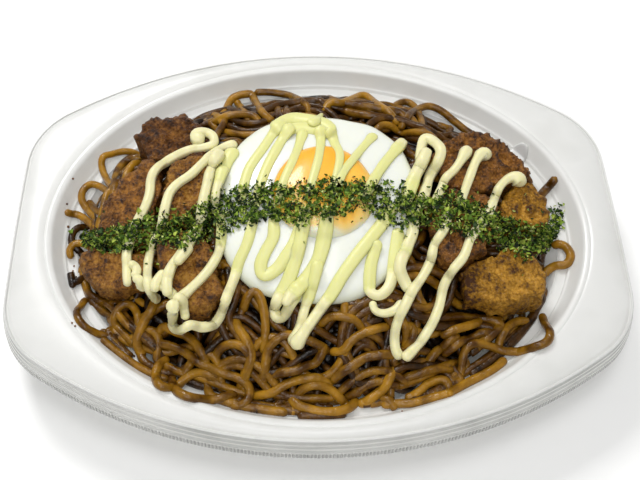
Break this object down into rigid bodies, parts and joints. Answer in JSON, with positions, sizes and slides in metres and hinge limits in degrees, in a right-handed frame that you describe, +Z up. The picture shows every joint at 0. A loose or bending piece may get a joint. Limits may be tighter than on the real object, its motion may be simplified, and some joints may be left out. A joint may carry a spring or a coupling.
{
  "type": "yakisoba in a take-out tray",
  "caption": "Heaped fried noodles in a stepped oval plastic tray, topped with a fried egg, fried pork, mayonnaise lines and green flakes",
  "frame": {"origin": "middle of the underside of the tray, which is the middle of the base of the bounding box", "axes": "+X along the tray to its right end, +Y to its far long side, +Z up"},
  "size_m": [0.2408, 0.1788, 0.055],
  "materials": {
    "tray": "thin milky thermoformed sheet, glossy",
    "noodle_heap": "stir-fried noodles with glossy brown sauce",
    "egg_white": "set white of a fried egg, moist",
    "egg_yolk": "half-set yolk, moist",
    "dark_crust": "dark fried pork with sauce",
    "red_crust": "reddish brown fried pork",
    "brown_crust": "brown fried crust",
    "gold_crust": "golden crisp coating"
  },
  "bodies": {
    "root": {"tray": "tray", "noodle_heap": "noodle_heap", "egg_white": "egg_white", "egg_yolk": "egg_yolk", "pork_left_back": "dark_crust", "pork_left_inner": "brown_crust", "pork_left_outer": "red_crust", "cutlet_left_front": "brown_crust", "cutlet_left_inner": "brown_crust", "pork_right_back": "red_crust", "pork_right_outer": "gold_crust", "pork_right_inner": "red_crust", "cutlet_right_front": "gold_crust"}
  },
  "joints": []
}
